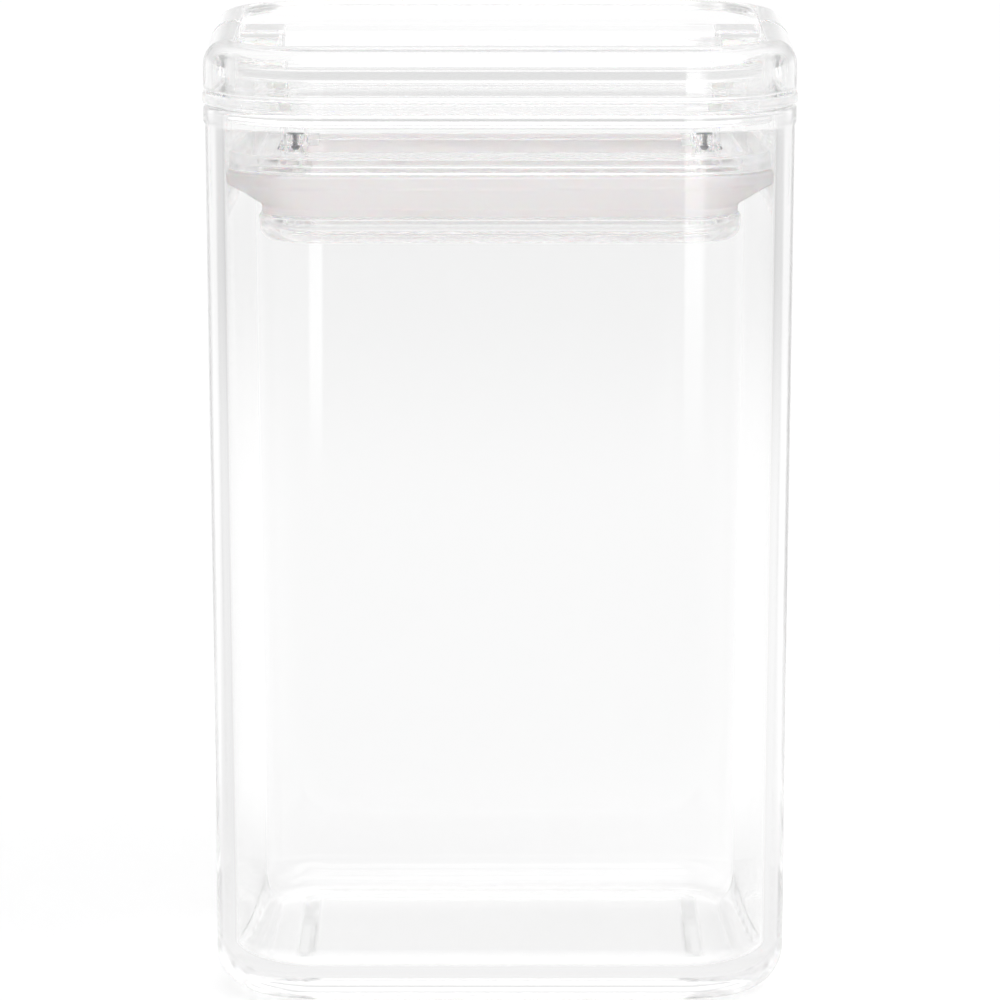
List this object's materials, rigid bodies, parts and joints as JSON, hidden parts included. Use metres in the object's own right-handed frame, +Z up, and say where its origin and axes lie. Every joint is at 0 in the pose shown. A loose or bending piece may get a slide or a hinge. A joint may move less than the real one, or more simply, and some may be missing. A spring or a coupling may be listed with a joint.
{
  "type": "lidded canister",
  "caption": "Clear rounded-square storage canister with a flip-handle lid whose cams squeeze a silicone ring against the inside of the mouth.",
  "frame": {"origin": "centre of the underside, on the surface that the canister stands on", "axes": "+Z up; the flip handle folds down towards the front, which is -Y; +X is to the right seen from the front"},
  "size_m": [0.11, 0.11, 0.178],
  "materials": {
    "canister_glass": "clear, polished",
    "clear_plastic": "clear moulded plastic, polished",
    "silicone": "translucent white silicone, satin",
    "acetal": "natural white moulded acetal, satin",
    "steel": "stainless steel, plain"
  },
  "bodies": {
    "canister": {"canister_body": "canister_glass"},
    "lid": {"lid_base": "clear_plastic", "top_cover": "clear_plastic", "seal_plate": "clear_plastic", "seal_gasket": "silicone", "tie_screw_left": "steel", "tie_screw_right": "steel"},
    "handle": {"flip_handle": "clear_plastic", "camshaft_left": "acetal", "camshaft_right": "acetal", "lock_pin_left": "steel", "lock_pin_right": "steel"},
    "presser": {"presser_plate": "clear_plastic"}
  },
  "joints": [
    {"name": "lid_lift", "type": "slide", "parent": "canister", "child": "lid", "axis": [0, 0, 1], "range_m": [0, 0.15]},
    {"name": "handle_flip", "type": "hinge", "parent": "lid", "child": "handle", "pos_m": [0, 0, 0.1717], "axis": [-1, 0, 0], "range_deg": [0, 90]},
    {"name": "presser_lift", "type": "slide", "parent": "lid", "child": "presser", "axis": [0, 0, 1], "range_m": [0, 0.0022], "deforming": ["seal_gasket"]}
  ],
  "couplings": [
    {"joint": "presser_lift", "follows": "handle_flip", "m_per_rad": 0.0014}
  ]
}
